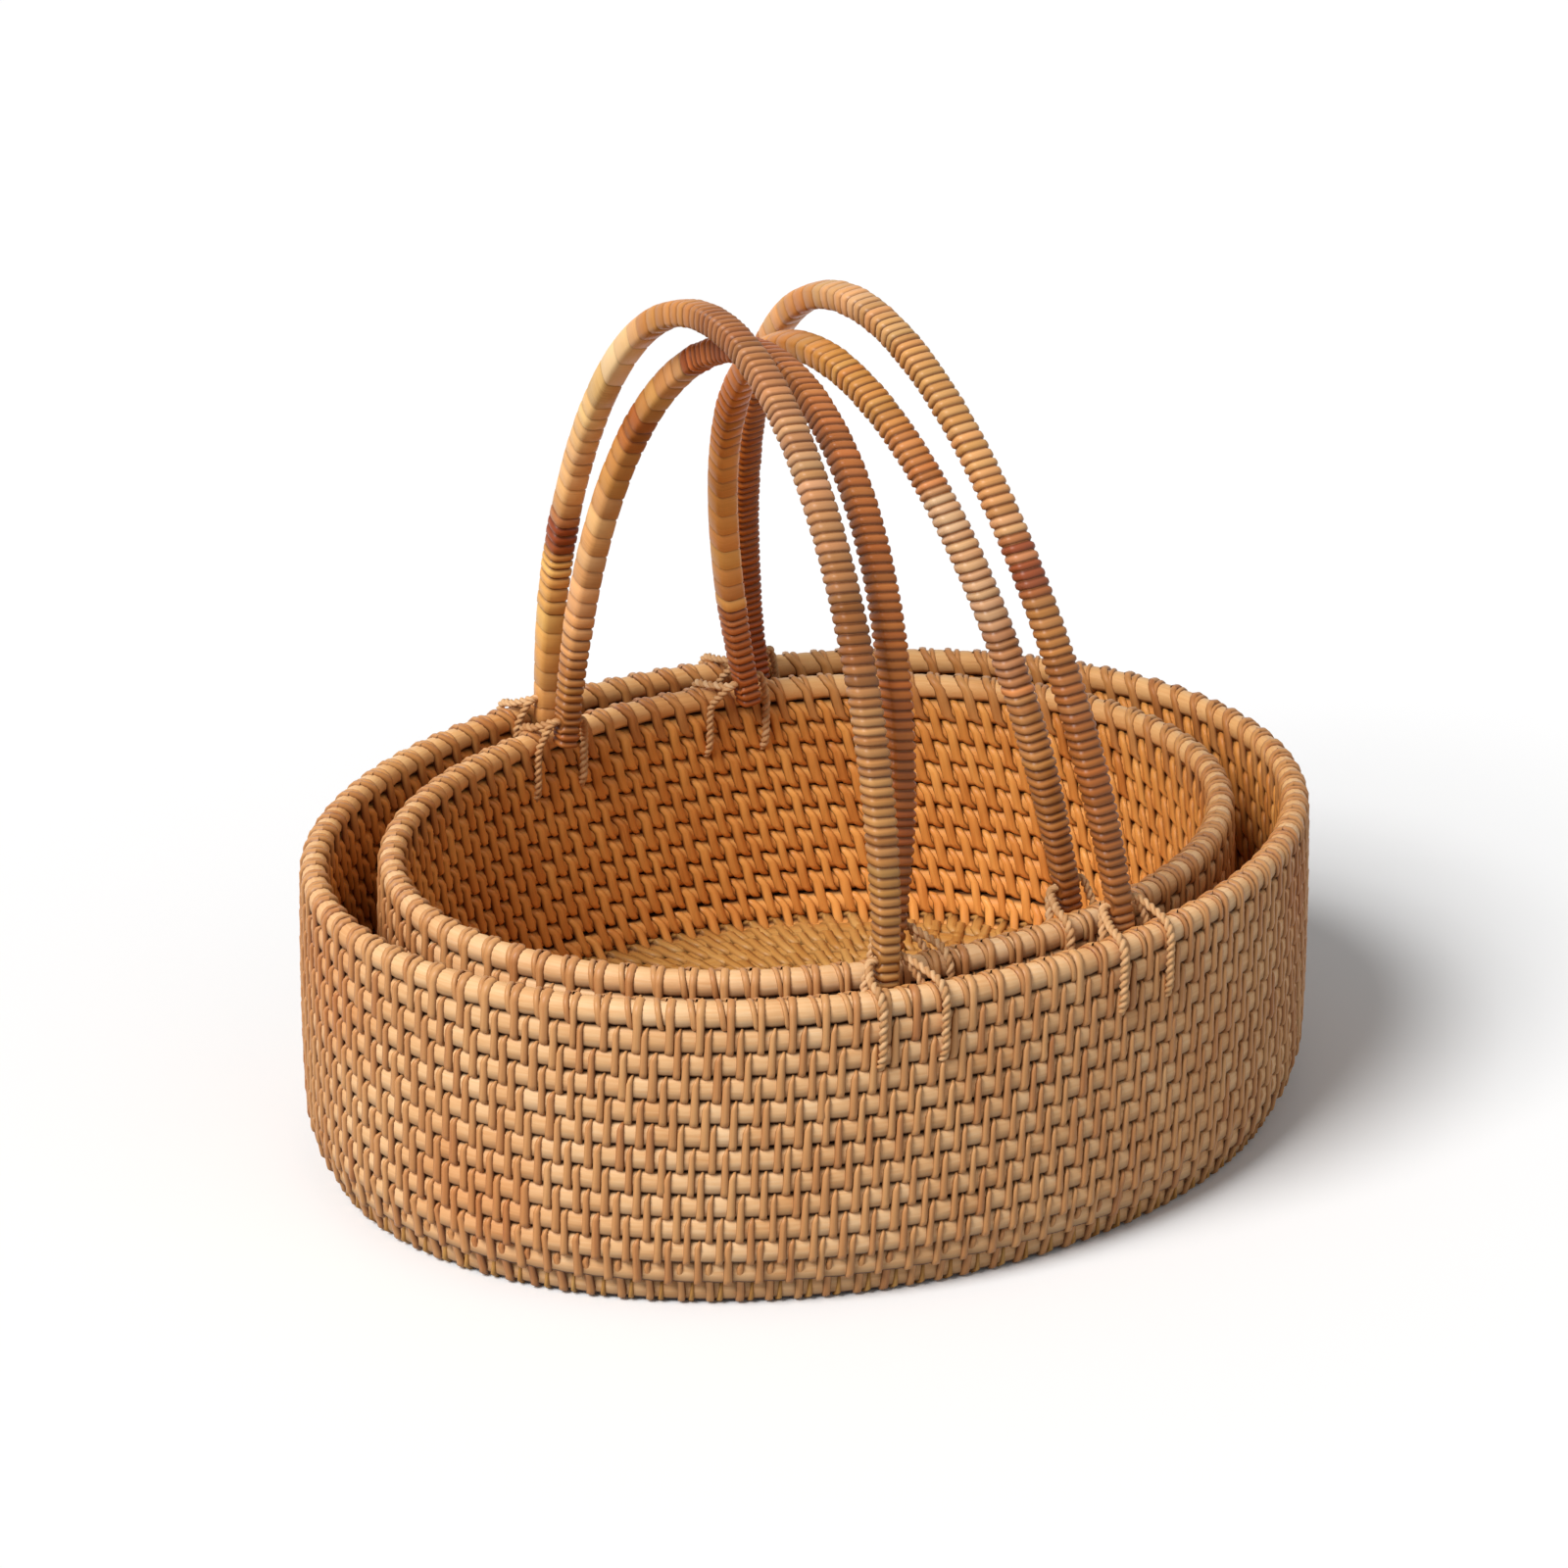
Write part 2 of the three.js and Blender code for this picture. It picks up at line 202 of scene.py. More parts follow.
# From the middle of a foot: where a strand starts, a mouth of the hole, and the bend outside it
tie_reaches = (2.0 * mm, 3.0 * mm, 5.3 * mm + tie_radius)
# Where the outer leg of a tie goes in under a course, and where its inner leg does: how far outside
# the middle line of the rod, and how far above it
outer_tuck = [
    (rod_radius + tie_over, 1.5 * mm), (rod_radius + 0.4 * mm, -4.2 * mm), (0.5 * rod_radius, -4.6 * mm),
]
inner_tuck = (-0.6 * rod_radius, -4.4 * mm)
strand_radius = 1.15 * mm
strand_flat = 0.82  # thickness of a strand as a share of its width
strand_offset = 0.65 * mm  # from the middle of a tie to the middle of a strand
strand_sides = 7
strand_crease = (0.2, 1.0)  # cosines between which painted shade darkens a strand towards the other one, in the crease between them
strand_tip = 0.02  # share of the section, by area, that is left at a strand's ends
tip_steps = 2
twist_length = 5.5 * mm  # length of one whole twist
route_step = 0.9 * mm
fewest_points = 8
route_passes = 7  # times that a route's bends are eased

# Light and floor: the side that each lamp shines from, its softness in degrees and its power
lamps = {"key": ((-0.97, -0.24, 1.05), 30, 3.2), "fill": ((0.35, -0.95, 0.7), 60, 0.2)}
world_light = 0.27  # how strongly the white surroundings light the object
floor_side = 20.0
floor_drop = 1.3 * mm  # just below the stitches under the large base
floor_white = 0.97
floor_bounce = 0.38  # how pale the floor is for the light that it throws on the object

# Cane along each handle: the share of its length from the front foot to the rear one, the colour there,
# and the width of a turn in millimetres
handle_bands = {
    "large_left": [
        (0.00, "cd9556", 3.4), (0.10, "c48c50", 3.4), (0.18, "cc945e", 3.4), (0.205, "a4683a", 3.4),
        (0.26, "98602f", 3.5), (0.29, "c28a5c", 3.6), (0.36, "d4a072", 3.6), (0.41, "cc9062", 3.4),
        (0.46, "b27546", 3.2), (0.50, "ae7044", 3.2), (0.53, "cc8c4e", 5.0), (0.61, "e49c52", 9.0),
        (0.63, "f7d19a", 15.0), (0.69, "fad090", 15.0), (0.71, "fcca8c", 6.0), (0.81, "f6be80", 7.0),
        (0.825, "a05028", 4.0), (0.85, "a05028", 4.0), (0.86, "fabf6e", 3.4), (0.93, "ecb265", 9.0),
        (1.00, "dca060", 7.0),
    ],
    "large_right": [
        (0.00, "c5844e", 3.4), (0.06, "a86632", 3.4), (0.13, "ac6832", 3.4), (0.20, "c4844c", 3.4),
        (0.24, "c68a52", 3.4), (0.25, "a45836", 3.4), (0.275, "a45836", 3.4), (0.285, "dea472", 3.4),
        (0.35, "e4aa6c", 3.4), (0.42, "d8a465", 3.2), (0.50, "e6b07a", 4.0), (0.54, "d09a64", 7.0),
        (0.58, "d08c48", 9.0), (0.62, "f4bc78", 9.0), (0.70, "c87e48", 4.0), (0.80, "b86826", 3.0),
        (1.00, "a04c1c", 3.0),
    ],
    "small_left": [
        (0.00, "ac6c36", 3.4), (0.10, "b8662e", 3.4), (0.20, "d07a34", 3.4), (0.28, "ca7a3e", 3.4),
        (0.40, "c87e48", 3.4), (0.46, "d0854a", 3.2), (0.52, "be6e44", 3.2), (0.59, "d27636", 3.4),
        (0.61, "f8ba78", 7.0), (0.66, "d89e58", 9.0), (0.70, "c07036", 5.0), (0.75, "d0924e", 9.0),
        (0.81, "f6be80", 9.0), (0.87, "f8ba80", 6.0), (0.91, "e8a86c", 4.0), (0.95, "c88848", 3.2),
        (1.00, "a05826", 3.2),
    ],
    "small_right": [
        (0.00, "9a5424", 3.4), (0.06, "b87840", 3.4), (0.14, "c6864a", 3.4), (0.22, "ca9064", 3.4),
        (0.25, "d8aa80", 3.5), (0.33, "e2b88c", 3.5), (0.345, "cc8450", 3.2), (0.42, "d69854", 3.2),
        (0.48, "d0944a", 4.0), (0.54, "bc7a3c", 8.0), (0.58, "eaa864", 8.0), (0.66, "d8803a", 6.0),
        (0.72, "f09a48", 5.0), (0.80, "fcb264", 9.0), (0.88, "fcb868", 8.0), (0.92, "d07c44", 3.4),
        (1.00, "ac5c26", 3.2),
    ],
}


# Finishes

def linear(hex_colour):
    """An sRGB hex colour as the linear colour that a shader takes."""
    parts = [int(hex_colour[place:place + 2], 16) / 255 for place in (0, 2, 4)]
    return [part / 12.92 if part <= 0.04045 else ((part + 0.055) / 1.055) ** 2.4 for part in parts]


def add_node(tree, kind, inputs=None, **settings):
    """Adds a node with its settings. An input is given a value, or the socket that feeds it."""
    node = tree.nodes.new(kind)
    for name, value in settings.items():
        setattr(node, name, value)
    for name, value in (inputs or {}).items():
        if isinstance(value, bpy.types.NodeSocket):
            tree.links.new(value, node.inputs[name])
        else:
            node.inputs[name].default_value = value
    return node


def cane_material(name, stops, crease_colour, crease_share, roughness, coat, fibre, tint):
    """Rattan cane. Fibres run along each piece, and each length of cane has its own tone. Painted shade: a
    dark colour is mixed in as a per-point attribute says, in the creases where cane dips under cane. fibre
    is the width of one streak of fibres, drawn coarse enough to show. Where tint is true, the piece's tint
    attribute colours the cane."""
    fibre_length = 14 * mm
    blotch_size = 34 * mm
    fibre_weight = 0.6
    blotch_weight = 0.4
    roughness_swing = 0.08
    first, second, result = 6, 7, 2  # the colour sockets of a Mix node
    material = bpy.data.materials.new(name)
    material.use_nodes = True
    tree = material.node_tree
    shader = tree.nodes["Principled BSDF"]
    tone = add_node(tree, "ShaderNodeAttribute", attribute_name="tone").outputs["Fac"]
    crease = add_node(tree, "ShaderNodeAttribute", attribute_name="crease").outputs["Fac"]
    place = add_node(tree, "ShaderNodeAttribute", attribute_name="cane_place").outputs["Vector"]
    stretched = add_node(
        tree, "ShaderNodeMapping",
        {"Vector": place, "Scale": (1 / fibre_length, 1 / fibre, 1.0)},
    ).outputs["Vector"]
    fibres = add_node(
        tree, "ShaderNodeTexNoise",
        {"Vector": stretched, "Scale": 1.0, "Detail": 3.0, "Roughness": 0.6},
    ).outputs["Fac"]
    position = add_node(tree, "ShaderNodeTexCoord").outputs["Object"]
    blotches = add_node(
        tree, "ShaderNodeTexNoise",
        {"Vector": position, "Scale": 1 / blotch_size, "Detail": 2.0},
    ).outputs["Fac"]
    streaked = add_node(
        tree, "ShaderNodeMath", {0: fibres, 1: fibre_weight, 2: tone}, operation="MULTIPLY_ADD",
    ).outputs["Value"]
    blotched = add_node(
        tree, "ShaderNodeMath", {0: blotches, 1: blotch_weight, 2: streaked}, operation="MULTIPLY_ADD",
    ).outputs["Value"]
    paleness = add_node(
        tree, "ShaderNodeMath", {0: blotched, 1: (fibre_weight + blotch_weight) / 2},
        operation="SUBTRACT", use_clamp=True,
    ).outputs["Value"]
    toned = add_node(tree, "ShaderNodeValToRGB", {"Fac": paleness})
    elements = toned.color_ramp.elements
    while len(elements) < len(stops):
        elements.new(0.5)
    for element, (stop, hex_colour) in zip(elements, stops):
        element.position = stop
        element.color = linear(hex_colour) + [1.0]
    colour = toned.outputs["Color"]
    if tint:
        stain = add_node(tree, "ShaderNodeAttribute", attribute_name="tint").outputs["Color"]
        colour = add_node(
            tree, "ShaderNodeMix", {"Factor": 1.0, first: stain, second: colour},
            data_type="RGBA", blend_type="MULTIPLY",
        ).outputs[result]
    # Painted shade: a dark colour mixed in where the creases would lie in shade
    dark = add_node(
        tree, "ShaderNodeMath", {0: crease, 1: crease_share}, operation="MULTIPLY", use_clamp=True,
    ).outputs["Value"]
    creased = add_node(
        tree, "ShaderNodeMix", {"Factor": dark, first: colour, second: linear(crease_colour) + [1.0]},
        data_type="RGBA",
    ).outputs[result]
    rough = add_node(
        tree, "ShaderNodeMapRange",
        {"Value": fibres, "From Min": 0.25, "From Max": 0.75,
         "To Min": roughness - roughness_swing, "To Max": roughness + roughness_swing},
    ).outputs["Result"]
    grain = add_node(
        tree, "ShaderNodeBump", {"Strength": 0.25, "Distance": 0.15 * mm, "Height": fibres},
    ).outputs["Normal"]
    tree.links.new(creased, shader.inputs["Base Color"])
    tree.links.new(rough, shader.inputs["Roughness"])
    tree.links.new(grain, shader.inputs["Normal"])
    shader.inputs["IOR"].default_value = 1.5
    shader.inputs["Specular IOR Level"].default_value = 0.25
    shader.inputs["Coat Weight"].default_value = coat
    shader.inputs["Coat Roughness"].default_value = 0.28
    return material


# The dark second colour given to each finish below is painted shade for its creases
# Round core cane with the bark off: pale, matt and finely grained along its length
core_cane = cane_material(
    "rattan core rod", [(0.0, "b87240"), (0.35, "da9f66"), (0.65, "ecbb86"), (1.0, "f8d3a6")],
    crease_colour="3a1000", crease_share=1.0, roughness=0.55, coat=0.03, fibre=0.9 * mm, tint=True,
)
# Split peel of the cane, with the smooth bark side out, so it shines a little
peel_strip = cane_material(
    "rattan peel strip", [(0.0, "a25e32"), (0.35, "c88a54"), (0.65, "d89f66"), (1.0, "e8b882")],
    crease_colour="401404", crease_share=1.0, roughness=0.45, coat=0.08, fibre=0.8 * mm, tint=True,
)
# Coils of the bases, which are the same cane but more golden
base_cane = cane_material(
    "rattan base coil", [(0.0, "a2672a"), (0.35, "bf8742"), (0.65, "cc9954"), (1.0, "d6ab67")],
    crease_colour="5a2c0c", crease_share=0.8, roughness=0.5, coat=0.08, fibre=0.9 * mm, tint=False,
)
# Varnished cane wound on the handles, stained in bands
bound_cane = cane_material(
    "varnished cane binding", [(0.0, "d0b89c"), (0.4, "f6ecdc"), (0.7, "ffffff"), (1.0, "ffffff")],
    crease_colour="3a1004", crease_share=1.0, roughness=0.42, coat=0.08, fibre=0.5 * mm, tint=True,
)
# Raw ends of the poles under the binding
pole_cane = cane_material(
    "rattan pole", [(0.0, "5a3016"), (0.4, "7a4822"), (0.7, "8d582c"), (1.0, "9c6838")],
    crease_colour="3f2412", crease_share=0.6, roughness=0.55, coat=0.05, fibre=0.5 * mm, tint=False,
)
# Twisted unvarnished cane
tie_cane = cane_material(
    "twisted cane tie", [(0.0, "b07a4a"), (0.4, "d2a06c"), (0.7, "dfb282"), (1.0, "eac294")],
    crease_colour="5a2c12", crease_share=0.35, roughness=0.6, coat=0.02, fibre=0.4 * mm, tint=False,
)


# Pieces bent from flat blanks

class Blank:
    """A flat blank of cane, divided along and across. along runs from 0 to 1, across from -0.5 to 0.5."""

    def __init__(self, along, across):
        bpy.ops.object.select_all(action="DESELECT")
        bpy.ops.mesh.primitive_grid_add(x_subdivisions=across, y_subdivisions=along, size=1.0)
        blank = bpy.context.object
        corners = np.array([corner.co for corner in blank.data.vertices])
        self.along = 0.5 - corners[:, 1]
        self.across = corners[:, 0]
        self.faces = np.array([list(face.vertices) for face in blank.data.polygons])
        flat = blank.data
        bpy.data.objects.remove(blank)
        bpy.data.meshes.remove(flat)


def bent_piece(name, parts, material, closed):
    """One piece from bent blanks. Each part is (blank, points, values), with the copies of a blank in
    the first axis of its points, and a value for each point under each name."""
    points = []
    faces = []
    values = {}
    start = 0
    for blank, bent, given in parts:
        copies, count = bent.shape[:2]
        first = start + np.arange(copies) * count
        faces.append((first[:, None, None] + blank.faces[None]).reshape(-1, 4))
        points.append(bent.reshape(-1, 3))
        for key, value in given.items():
            width = 1 if value.ndim == 2 else value.shape[2]
            values.setdefault(key, []).append(value.reshape(-1, width))
        start += copies * count
    points = np.concatenate(points)
    faces = np.concatenate(faces)
    mesh = bpy.data.meshes.new(name)
    mesh.from_pydata(points.tolist(), [], faces.tolist())
    kinds = {1: ("FLOAT", "value"), 3: ("FLOAT_VECTOR", "vector"), 4: ("FLOAT_COLOR", "color")}
    for key, rows in values.items():
        rows = np.concatenate(rows).astype(np.float32)
        kind, field = kinds[rows.shape[1]]
        attribute = mesh.attributes.new(key, kind, "POINT")
        attribute.data.foreach_set(field, rows.ravel())
    mesh.materials.append(material)
    piece = bpy.data.objects.new(name, mesh)
    bpy.context.scene.collection.objects.link(piece)
    bpy.ops.object.select_all(action="DESELECT")
    piece.select_set(True)
    bpy.context.view_layer.objects.active = piece
    if closed:
        bpy.ops.object.mode_set(mode="EDIT")
        bpy.ops.mesh.select_all(action="SELECT")
        bpy.ops.mesh.remove_doubles(threshold=weld_reach)
        bpy.ops.mesh.normals_make_consistent(inside=False)
        bpy.ops.object.mode_set(mode="OBJECT")
    bpy.ops.object.shade_smooth()
    return piece


class Oval:
    """The middle line of one coil. A share from 0 to 1 goes evenly once round it, anticlockwise from
    above. powers says how square the rod on it is."""

    def __init__(self, half_length, half_width, height, powers):
        self.powers = powers
        self.half_length = half_length
        self.half_width = half_width
        self.height = height
        self.angles = np.linspace(0, 2 * math.pi, oval_points)
        steps = np.hypot(
            half_length * np.diff(np.cos(self.angles)), half_width * np.diff(np.sin(self.angles)),
        )
        self.length = steps.sum()
        self.shares = np.concatenate([[0], np.cumsum(steps)]) / self.length

    def place(self, share, out, up):
        """Where a point lies that is so far outside the middle line and above it."""
        angle = np.interp(share % 1, self.shares, self.angles)
        out_x = np.cos(angle) / self.half_length
        out_y = np.sin(angle) / self.half_width
        size = np.hypot(out_x, out_y)
        x = self.half_length * np.cos(angle) + out * out_x / size
        y = self.half_width * np.sin(angle) + out * out_y / size
        return np.stack([x, y, self.height + up + 0 * x], axis=-1)


def oval_of(node, powers):
    """The middle line of a course of the frame."""
    low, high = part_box(node)
    return Oval(high.x - rod_radius, high.y - rod_radius, (low.z + high.z) / 2, powers)


def smooth_step(low, high, value):
    """0 up to the low value, 1 from the high one on, and an eased rise between them."""
    share = np.clip((value - low) / (high - low), 0, 1)
    return share * share * (3 - 2 * share)


def squared_round(angle, power):
    """Where a rounded square with half sides of 1 lies at an angle. A power of 2 gives a circle."""
    wide = np.sign(np.cos(angle)) * np.abs(np.cos(angle)) ** (2 / power)
    high = np.sign(np.sin(angle)) * np.abs(np.sin(angle)) ** (2 / power)
    return wide, high


def rod_section(angle, powers):
    """Where a rod's surface lies, in shares of its half width and half height. It is a little less
    high at its face, so there is a groove between two rods."""
    upper, lower, inner = powers
    outer = np.where(np.sin(angle) > 0, upper, lower)
    wide, high = squared_round(angle, np.where(np.cos(angle) > 0, outer, inner))
    return wide, high * (1 - groove_share * smooth_step(*groove_reach, np.abs(wide)))


def wall_tint(points, wide, inner_colour):
    """The tint at each point of the wall: stains on its outer side, and one colour on its inner side."""
    stain = 0
    for middle, reach in wall_stains:
        away = np.linalg.norm(points - np.array(middle) * mm, axis=-1) / (reach * mm)
        stain = np.maximum(stain, np.exp(-away ** 2))
    outer = 1 + stain[..., None] * (np.array(stain_tint) - 1)
    inner = smooth_step(*inner_reach, -wide)[..., None]
    tint = outer + inner * (np.array(inner_colour) - outer)
    return np.concatenate([tint, np.ones_like(tint[..., :1])], axis=-1)


def bent_rod(oval, blank, count, block_phase, bulge, paleness, inner_colour, covered=True, turned=0.0):
    """A rod bent round an oval. It swells between its stitches, and each block between two stitches
    has a tone of its own. A covered rod has another lying on it, or outside it if it is turned.
    Each rod gets a painted shadow on its lower side, and a covered rod painted shade on the side where the
    other lies."""
    share = blank.along
    angle = blank.across * 2 * math.pi
    phase = share * count - block_phase
    swell = 1 + bulge * np.cos(2 * math.pi * phase)
    waver = sum(
        waver_share * np.cos(2 * math.pi * (wave * share + start))
        for wave, start in zip(waver_waves, chance.random(len(waver_waves)))
    )
    wide, high = rod_section(angle, oval.powers)
    rise = rise_height * np.cos(2 * math.pi * (rise_waves * share + chance.random()))
    out = rod_radius * (swell + waver) * wide
    up = rod_half_high * (swell + waver) * high
    points = oval.place(-share, out, up + rise)
    tones = np.clip(chance.normal(paleness, block_spread, count), 0, 1)
    tone = tones[np.floor(phase + 0.5).astype(int) % count]
    # Painted shade: a painted shadow on the rod's lower side, and painted shade where a covered rod meets
    # the other
    beside = np.sin(angle + turned)
    below_outside = smooth_step(*crease_below_outside, -beside)
    below_inside = smooth_step(*crease_below_inside, -beside)
    below = np.where(wide > 0, below_outside, below_inside)
    above = crease_above_share * smooth_step(*crease_above, beside) if covered else 0 * angle
    own_grain = grain_apart["rod"] * chance.random()
    place = np.stack([share * oval.length, angle * rod_radius, 0 * share + own_grain], axis=-1)
    tint = wall_tint(points, wide, inner_colour)
    values = {"tone": tone, "crease": np.maximum(below, above), "cane_place": place, "tint": tint}
    return blank, points[None], {key: value[None] for key, value in values.items()}


def core_rod(oval, blank):
    """The straight rod in the middle of a base, which fills the slit inside the smallest coil."""
    half_length = oval.half_length - coil_step / 2
    half_width = oval.half_width - coil_step / 2
    turn = blank.along * math.pi
    angle = -blank.across * 2 * math.pi
    x = -half_length * np.cos(turn)
    y = half_width * np.sin(turn) * np.cos(angle)
    z = oval.height + rod_half_high * np.sqrt(np.abs(np.sin(turn))) * np.sin(angle)
    points = np.stack([x, y, z], axis=-1)
    # Painted shade towards the sides, where the core rod meets the coils
    crease = smooth_step(*core_crease, np.abs(np.cos(angle)))
    place = np.stack([x, angle * rod_radius, 0 * x], axis=-1)
    tint = np.ones((len(x), 4))
    tone = 0 * x + base_paleness
    values = {"tone": tone, "crease": crease, "cane_place": place, "tint": tint}
    return blank, points[None], {key: value[None] for key, value in values.items()}


def stitch_path(start, tapered):
    """The steps of a stitch: from the first rod's crease over its face, across the second rod's face,
    under it, and back behind both, one pitch further round. Each step is the share of the way
    from the first rod to the second, the angle round the rod, and how wide, thick and far
    round the strip is there. A tapered stitch starts as a point."""
    on_first = [(0.0, angle) for angle in np.linspace(start, 8, 4)]
    on_second = [(1.0, angle) for angle in np.linspace(-8, -95, 4)]
    behind_second = [(1.0, angle) for angle in np.linspace(-125, -172, 3)]
    behind_first = [(0.0, angle) for angle in np.linspace(172, start, 4)]
    steps = on_first + [(0.5, 0)] + on_second + behind_second + [(0.5, 180)] + behind_first
    tip_wide = [0.1, 0.34, 0.58, 0.78] if tapered else [1.0, 1.0, 1.0, 1.0]
    tip_thick = [0.2, 0.7, 0.95, 1.0] if tapered else [1.0, 1.0, 1.0, 1.0]
    wide = tip_wide + [0.88, 0.96, 1, 1, 0.9, 1.1, 1.25, 1.3, 1.3, 1.3, 1.3, 1.1, tip_wide[0]]
    thick = tip_thick + [0.95, 1, 1, 0.8, 0.3, 0.7, 1, 1, 0.9, 1, 1, 0.9, tip_thick[0]]
    front_steps = len(on_first) + 1 + len(on_second)
    behind = np.linspace(0.1, 0.85, 7) if tapered else np.linspace(0.08, 0.9, 7)
    shift = [0.0] * front_steps + list(behind) + [1.0]
    share, angle = np.array(steps).T
    return share, np.radians(angle), np.array(wide), np.array(thick), np.array(shift)


def strip_section(across):
    """Across a strip of cane: where its points lie, how thick it is there, and how much painted shade its
    edges get.
    The strip is pulled tight on one side, so its other edge is tucked in deeper and gets the darker painted
    shade."""
    places = [-0.5, -0.25, 0, 0.25, 0.5]
    squared = np.interp(across, places, [-0.5, -0.42, -0.05, 0.32, 0.5])
    crown = np.interp(across, places, [-0.25, 0.8, 1.0, 0.8, -0.4])
    edge = np.interp(across, places, [0.8, 0.08, 0.0, 0.12, 1.0])
    return squared, crown, edge


def stitch_row(first, second, blank, count, phase, turned=0.0, start=stitch_from, tapered=True):
    """Every stitch of one row, sewn over the first and second rods."""
    share, angle, width, thick, shift = stitch_path(start, tapered)
    step = np.rint(blank.along * strip_steps).astype(int)
    share, angle, width, thick, shift = (row[step] for row in (share, angle, width, thick, shift))
    squared, crown, edge = strip_section(blank.across)
    order = np.arange(count)[:, None]
    moved = chance.normal(0, stitch_moves, count)[:, None]
    moved_on = np.roll(moved, -1)
    wider = 1 + np.clip(chance.normal(0, stitch_widths, count), -widest_strip, widest_strip)[:, None]
    stitch_middle = 0.25  # share of the strip at the middle of its outer side
    slant = chance.normal(0, stitch_tilts, count)[:, None] - stitch_slant
    tilted = np.where(shift[None] > 0, 0, slant * (blank.along - stitch_middle)[None])
    slack = np.where(share == 0.5, strip_dip, 1.0)
    around = (order + phase + shift + moved * (1 - shift) + moved_on * shift + tilted) / count
    blade = np.where(shift == 0, tip_lean * (1 - width), 0)
    around = around + (squared * width + blade) * strip_wide * wider / first.length
    lift = crown * thick * strip_thick + strip_clear
    points = 0
    for oval, part in ((first, 1 - share), (second, share)):
        wide, high = rod_section(angle + turned, oval.powers)
        out = ((rod_radius * slack + lift) * wide)[None]
        up = ((rod_half_high * slack + lift) * high)[None]
        points = points + part[None, :, None] * oval.place(around, out, up)
    tone = np.clip(chance.normal(middle_tone, strip_tones, count), 0, 1)[:, None] + 0 * around
    # Painted shade: the strip gets darker where it thins on its way behind the rods, and along its edges
    end = np.where(shift == 0, 0, np.clip((1 - thick) / strip_thinner, 0, 1))
    crease = np.maximum(end, edge)[None] + 0 * around
    along = blank.along[None] * stitch_length + 0 * around
    tint = wall_tint(points, wide, inner_strip_tint if tapered else inner_rim_tint)
    own_grain = grain_apart["stitch"] * order
    place = np.stack([along, squared * strip_wide + 0 * around, own_grain + 0 * around], axis=-1)
    return blank, points, {"tone": tone, "crease": crease, "cane_place": place, "tint": tint}


def rim_wraps(rim, blank, count, phase):
    """The second wrap at each stitch, round the rim alone. It leans into the stitch at its foot."""
    lowest = -82  # degrees round the rim at which a wrap ends
    open_turn = 16  # degrees by which it falls short of a whole turn
    angle = np.radians(np.interp(blank.along, [0, 1], [lowest + 360 - open_turn, lowest]))
    lean = np.interp(blank.along, [0, 0.4, 1], [-0.62, -0.36, -0.1])  # in pitches from the stitch
    squared, crown, edge = strip_section(blank.across)
    order = np.arange(count)[:, None]
    moved = chance.normal(0, wrap_moves, count)[:, None]
    wider = 1 + np.clip(chance.normal(0, wrap_widths, count), -widest_strip, widest_strip)[:, None]
    around = (order + phase + lean + moved) / count + squared * wrap_wide * wider / rim.length
    wide, high = rod_section(angle, rim.powers)
    lift = crown * wrap_thick
    points = rim.place(around, ((rod_radius + lift) * wide)[None], ((rod_half_high + lift) * high)[None])
    tone = np.clip(chance.normal(middle_tone, strip_tones, count), 0, 1)[:, None] + 0 * around
    # Painted shade at the wrap's ends, where it dips under the rim, and along its edges
    end = smooth_step(*wrap_painted_shade_ends, np.abs(2 * blank.along - 1))
    crease = np.maximum(end, edge)[None] + 0 * around
    along = blank.along[None] * wrap_length + 0 * around
    tint = wall_tint(points, wide, inner_rim_tint)
    own_grain = grain_apart["wrap"] * order
    place = np.stack([along, squared * strip_wide + 0 * around, own_grain + 0 * around], axis=-1)
    return blank, points, {"tone": tone, "crease": crease, "cane_place": place, "tint": tint}


